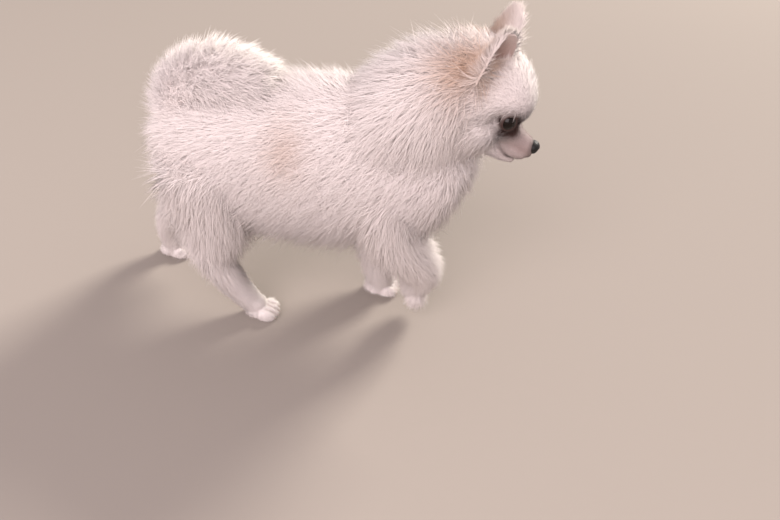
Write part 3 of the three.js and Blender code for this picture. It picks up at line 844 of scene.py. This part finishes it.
def skin_material():
    def build(nodes, links, shader):
        # Base colour from the vertex colours: markings and painted shade
        tint = nodes.new("ShaderNodeAttribute")
        tint.attribute_name = "marking_and_shade"
        place = nodes.new("ShaderNodeTexCoord")
        noise = nodes.new("ShaderNodeTexNoise")
        noise.inputs["Scale"].default_value = 900
        noise.inputs["Detail"].default_value = 4
        bump = nodes.new("ShaderNodeBump")
        bump.inputs["Strength"].default_value = 0.35
        bump.inputs["Distance"].default_value = 0.0006
        links.new(place.outputs["Object"], noise.inputs["Vector"])
        links.new(noise.outputs["Fac"], bump.inputs["Height"])
        links.new(bump.outputs["Normal"], shader.inputs["Normal"])
        links.new(tint.outputs["Color"], shader.inputs["Base Color"])
        shader.inputs["Roughness"].default_value = 0.7
    return material("skin", build)


def eye_material():
    def build(nodes, links, shader):
        shader.inputs["Base Color"].default_value = (0.006, 0.003, 0.002, 1)
        shader.inputs["Roughness"].default_value = 0.06
        shader.inputs["Specular IOR Level"].default_value = 0.22
    return material("eye", build)


def nose_material():
    def build(nodes, links, shader):
        place = nodes.new("ShaderNodeTexCoord")
        cells = nodes.new("ShaderNodeTexVoronoi")
        cells.inputs["Scale"].default_value = 1500
        bump = nodes.new("ShaderNodeBump")
        bump.inputs["Strength"].default_value = 0.5
        bump.inputs["Distance"].default_value = 0.0003
        links.new(place.outputs["Object"], cells.inputs["Vector"])
        links.new(cells.outputs["Distance"], bump.inputs["Height"])
        links.new(bump.outputs["Normal"], shader.inputs["Normal"])
        shader.inputs["Base Color"].default_value = (0.006, 0.005, 0.005, 1)
        shader.inputs["Roughness"].default_value = 0.46
        shader.inputs["Specular IOR Level"].default_value = 0.3
    return material("nose leather", build)


def claw_material():
    def build(nodes, links, shader):
        shader.inputs["Base Color"].default_value = (0.42, 0.30, 0.26, 1)
        shader.inputs["Roughness"].default_value = 0.35
    return material("claw", build)


def make_eye(side):
    verts, faces = ball(eye_place(side), (EYE_RADIUS,) * 3, 32, 40)
    made = new_object("eyeball_" + ("left" if side > 0 else "right"), placed(in_head(verts)), faces)
    made.data.materials.append(EYE)
    smooth(made)
    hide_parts("eye_left" if side > 0 else "eye_right")
    return made


def make_nose():
    verts, faces = ball(NOSE_AT, (5, 6.4, 5.1), 40, 48)
    for side in (1, -1):
        centre = np.array((NOSE_AT.x + 4.4, side * 3.3, NOSE_AT.z - 0.4))
        gap = (verts - centre) / np.array((2.4, 1.7, 1.5))
        verts[:, 0] -= 3.0 * np.exp(-np.sum(gap**2, axis=1))
        slit = (verts - np.array((NOSE_AT.x + 2.5, side * 5.4, NOSE_AT.z - 1.4))) / np.array((3, 2, 0.8))
        verts[:, 0] -= 1.0 * np.exp(-np.sum(slit**2, axis=1))
    crease = np.exp(-((verts[:, 1] / 0.6) ** 2)) * (verts[:, 2] < NOSE_AT.z + 1)
    verts[:, 0] -= 0.7 * crease
    made = new_object("nose_leather", placed(in_head(verts)), faces)
    made.data.materials.append(NOSE)
    smooth(made)
    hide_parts("nose")
    return made


def claw(slot, rings=7, sides=10):
    """A tapering, drooping claw on one toe, in its paw's frame."""
    forward = PAW_LENGTH / 2 - 1.6 - 1.3 * abs(slot)
    across = slot * TOE_PITCH
    root, length, droop, radius = 4.6, 3.8, 2.4, 1.25
    verts, faces = [], []
    for i in range(rings):
        t = i / rings
        r = radius * (1 - t) ** 0.6
        for j in range(sides):
            a = 2 * math.pi * j / sides
            height = root - droop * t * t + r * math.sin(a)
            verts.append((forward + length * t, across + 0.75 * r * math.cos(a), height))
    verts += [(forward + length, across, root - droop), (forward, across, root)]
    tip, middle, last = rings * sides, rings * sides + 1, (rings - 1) * sides
    for j in range(sides):
        k = (j + 1) % sides
        for i in range(rings - 1):
            faces.append((i * sides + j, i * sides + k, (i + 1) * sides + k, (i + 1) * sides + j))
        faces.append((last + j, last + k, tip))
        faces.append((k, j, middle))
    return verts, faces


def make_claws():
    verts, faces = [], []
    for name in PAWS:
        for slot in TOE_SLOTS:
            own, own_faces = claw(slot)
            faces += [tuple(len(verts) + i for i in face) for face in own_faces]
            verts += moved(own, paw_matrix(name)).tolist()
    verts = np.array(verts)
    verts[:, 2] = np.maximum(verts[:, 2], 0.3)
    made = new_object("claws", placed(verts), faces)
    made.data.materials.append(CLAW)
    smooth(made)
    return made


def smooth(obj):
    for polygon in obj.data.polygons:
        polygon.use_smooth = True


def finish_skin(skin):
    """Colours the skin as the coat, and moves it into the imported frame."""
    mesh = skin.data
    co = read(mesh.vertices, "co", 3)
    set_vertex_colours(mesh, colour_at(co) * SKIN_TONE)
    mesh.vertices.foreach_set("co", placed(co).ravel())
    mesh.update()
    mesh.materials.append(SKIN)
    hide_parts("torso", "neck", "head", "tail", "ear_left", "ear_right")
    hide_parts(*["leg_" + name for name in LEGS])


# The camera, where the photograph was taken from
CAMERA_AT = (92.77, -476.24, 410)
CAMERA_RIGHT = (0.99250, 0.09156, 0.08095)
CAMERA_UP = (-0.11980, 0.59807, 0.79244)
CAMERA_LENS = 30.49


def make_camera():
    data = bpy.data.cameras.new("camera")
    data.lens = CAMERA_LENS
    data.sensor_width = 36
    data.clip_start = 0.01
    made = bpy.data.objects.new("camera", data)
    right = Vector(CAMERA_RIGHT).normalized()
    up = Vector(CAMERA_UP)
    up = (up - right * up.dot(right)).normalized()
    back = right.cross(up)
    made.matrix_world = Matrix((
        (right.x, up.x, back.x, 0), (right.y, up.y, back.y, 0), (right.z, up.z, back.z, 0), (0, 0, 0, 1),
    ))
    made.location = placed([CAMERA_AT])[0]
    bpy.context.scene.collection.objects.link(made)
    bpy.context.scene.camera = made


def area_light(name, place, aim, size, power, colour):
    data = bpy.data.lights.new(name, "AREA")
    data.size = size
    data.energy = power
    data.color = colour
    made = bpy.data.objects.new(name, data)
    made.location = place
    made.rotation_euler = (Vector(aim) - Vector(place)).to_track_quat("-Z", "Y").to_euler()
    bpy.context.scene.collection.objects.link(made)


# Place, aim, size, power and colour of the lights
KEY_LIGHT = ((3.6, 5.2, 4.2), (0, 0, 0.14), 2.2, 820, (1, 0.94, 0.86))
FILL_LIGHT = ((-0.6, -2.2, 1.7), (0, 0, 0.12), 2.4, 85, (1, 0.88, 0.9))
SKY = (0.9, 0.82, 0.84, 1)
SKY_STRENGTH = 0.8
FLOOR = (0.31, 0.275, 0.245, 1)


def make_studio():
    floor = new_object("floor", [(-3, -3, 0), (3, -3, 0), (3, 3, 0), (-3, 3, 0)], [(0, 1, 2, 3)])

    def build(nodes, links, shader):
        shader.inputs["Base Color"].default_value = FLOOR
        shader.inputs["Roughness"].default_value = 0.9
        shader.inputs["Specular IOR Level"].default_value = 0.05
    floor.data.materials.append(material("floor", build))
    area_light("key", *KEY_LIGHT)
    area_light("fill", *FILL_LIGHT)
    world = bpy.data.worlds.new("studio")
    world.use_nodes = True
    world.node_tree.nodes["Background"].inputs["Color"].default_value = SKY
    world.node_tree.nodes["Background"].inputs["Strength"].default_value = SKY_STRENGTH
    bpy.context.scene.world = world
    bpy.context.scene.view_settings.view_transform = "Standard"


EYE = eye_material()
NOSE = nose_material()
CLAW = claw_material()
FUR = fur_material()
SKIN = skin_material()

make_camera()
make_studio()
skin_object = make_skin()
unwrap(skin_object)
coat_pieces = make_coat(skin_object)
finish_skin(skin_object)
for piece in coat_pieces:
    piece.data.materials.append(FUR)
pieces = [skin_object, *coat_pieces, make_eye(1), make_eye(-1), make_nose(), make_claws()]
for piece in pieces:
    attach(piece, "root")
